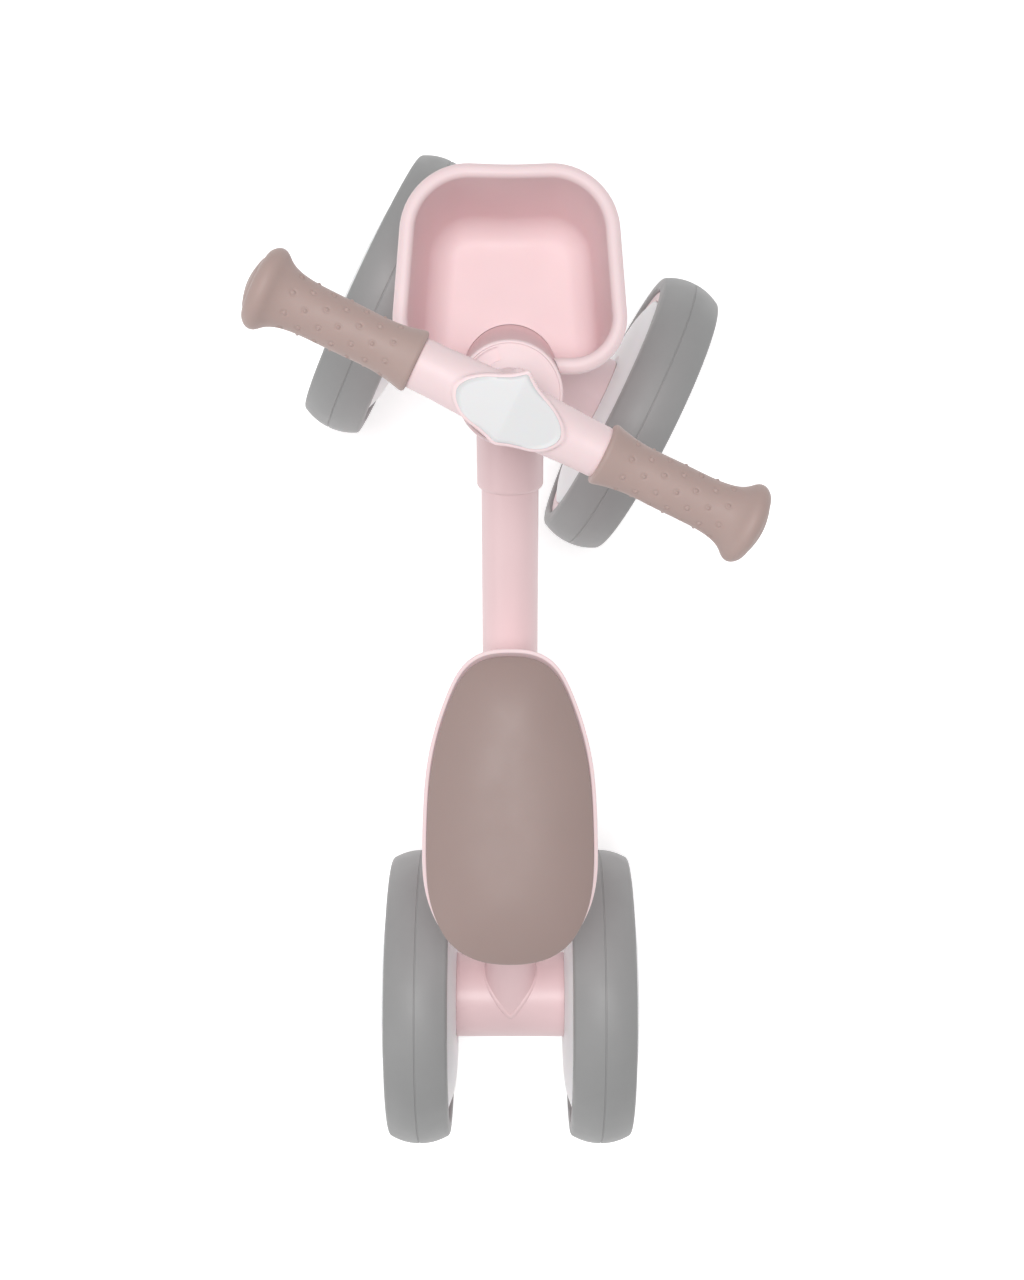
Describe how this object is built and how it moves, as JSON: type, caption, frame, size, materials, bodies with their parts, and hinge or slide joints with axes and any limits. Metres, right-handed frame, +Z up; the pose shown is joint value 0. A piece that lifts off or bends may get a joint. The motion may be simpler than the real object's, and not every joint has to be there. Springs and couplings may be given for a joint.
{
  "type": "balance bike",
  "caption": "Low four-wheeled toddler balance bike with a padded saddle, a T handlebar with soft grips, and an open bucket basket in front of the head tube.",
  "frame": {"origin": "on the floor under the middle of the bike's bounding box, with the bars turned right as built", "axes": "+X forward along the bike, +Y to the rider's left, +Z up"},
  "size_m": [0.5777, 0.2428, 0.397],
  "materials": {
    "frame_paint": "satin powder coat",
    "pink_moulding": "satin moulded",
    "white_moulding": "satin moulded",
    "foam_tyre": "matte foam skin",
    "grip_rubber": "matte soft touch",
    "seat_foam": "satin foam skin",
    "bush_plastic": "natural acetal",
    "bright_steel": "brushed",
    "zinc_steel": "bright zinc plate",
    "bearing_steel": "ground"
  },
  "bodies": {
    "frame": {"head_tube": "frame_paint", "headset_cap": "pink_moulding", "upper_bush": "bush_plastic", "lower_bush": "bush_plastic", "main_tube": "frame_paint", "rear_axle_housing": "frame_paint", "rear_housing_plugs": "bush_plastic", "rear_axle": "zinc_steel", "rear_spacers": "zinc_steel", "rear_axle_nuts": "zinc_steel", "basket": "pink_moulding", "basket_screws": "zinc_steel", "seat_tube": "frame_paint", "seat_clamp": "bright_steel", "clamp_bolt": "zinc_steel"},
    "seat": {"seat_post": "bright_steel", "seat_shell": "pink_moulding", "seat_pad": "seat_foam", "seat_screws": "zinc_steel"},
    "steering": {"steering_column": "bright_steel", "front_axle_housing": "pink_moulding", "front_housing_plugs": "bush_plastic", "front_axle": "zinc_steel", "front_spacers": "zinc_steel", "front_axle_nuts": "zinc_steel", "column_bolts": "zinc_steel", "handlebar": "pink_moulding", "handlebar_tube": "bright_steel", "badge_plate": "white_moulding", "left_grip": "grip_rubber", "right_grip": "grip_rubber"},
    "front_left_wheel": {"front_left_tyre": "foam_tyre", "front_left_rim": "pink_moulding", "front_left_inner_disc": "white_moulding", "front_left_outer_disc": "white_moulding", "front_left_bearings": "bearing_steel", "front_left_hub_cap": "white_moulding"},
    "front_right_wheel": {"front_right_tyre": "foam_tyre", "front_right_rim": "pink_moulding", "front_right_inner_disc": "white_moulding", "front_right_outer_disc": "white_moulding", "front_right_bearings": "bearing_steel", "front_right_hub_cap": "white_moulding"},
    "rear_left_wheel": {"rear_left_tyre": "foam_tyre", "rear_left_rim": "pink_moulding", "rear_left_inner_disc": "white_moulding", "rear_left_outer_disc": "white_moulding", "rear_left_bearings": "bearing_steel", "rear_left_hub_cap": "white_moulding"},
    "rear_right_wheel": {"rear_right_tyre": "foam_tyre", "rear_right_rim": "pink_moulding", "rear_right_inner_disc": "white_moulding", "rear_right_outer_disc": "white_moulding", "rear_right_bearings": "bearing_steel", "rear_right_hub_cap": "white_moulding"}
  },
  "joints": [
    {"name": "steering_turn", "type": "hinge", "parent": "frame", "child": "steering", "pos_m": [0.13387, 0, 0.24275], "axis": [-0.2683, 0, 0.9633], "range_deg": [-19, 71]},
    {"name": "seat_height", "type": "slide", "parent": "frame", "child": "seat", "axis": [-0.1627, 0, 0.9867], "range_m": [0, 0.03]},
    {"name": "front_left_roll", "type": "hinge", "parent": "steering", "child": "front_left_wheel", "pos_m": [0.20866, 0.071, 0.1033], "axis": [0.4223, 0.8988, 0.1176], "continuous": true},
    {"name": "front_right_roll", "type": "hinge", "parent": "steering", "child": "front_right_wheel", "pos_m": [0.14194, -0.071, 0.08472], "axis": [0.4223, 0.8988, 0.1176], "continuous": true},
    {"name": "rear_left_roll", "type": "hinge", "parent": "frame", "child": "rear_left_wheel", "pos_m": [-0.20389, 0.0524, 0.08498], "axis": [0, 1, 0], "continuous": true},
    {"name": "rear_right_roll", "type": "hinge", "parent": "frame", "child": "rear_right_wheel", "pos_m": [-0.20389, -0.0524, 0.08498], "axis": [0, 1, 0], "continuous": true}
  ]
}
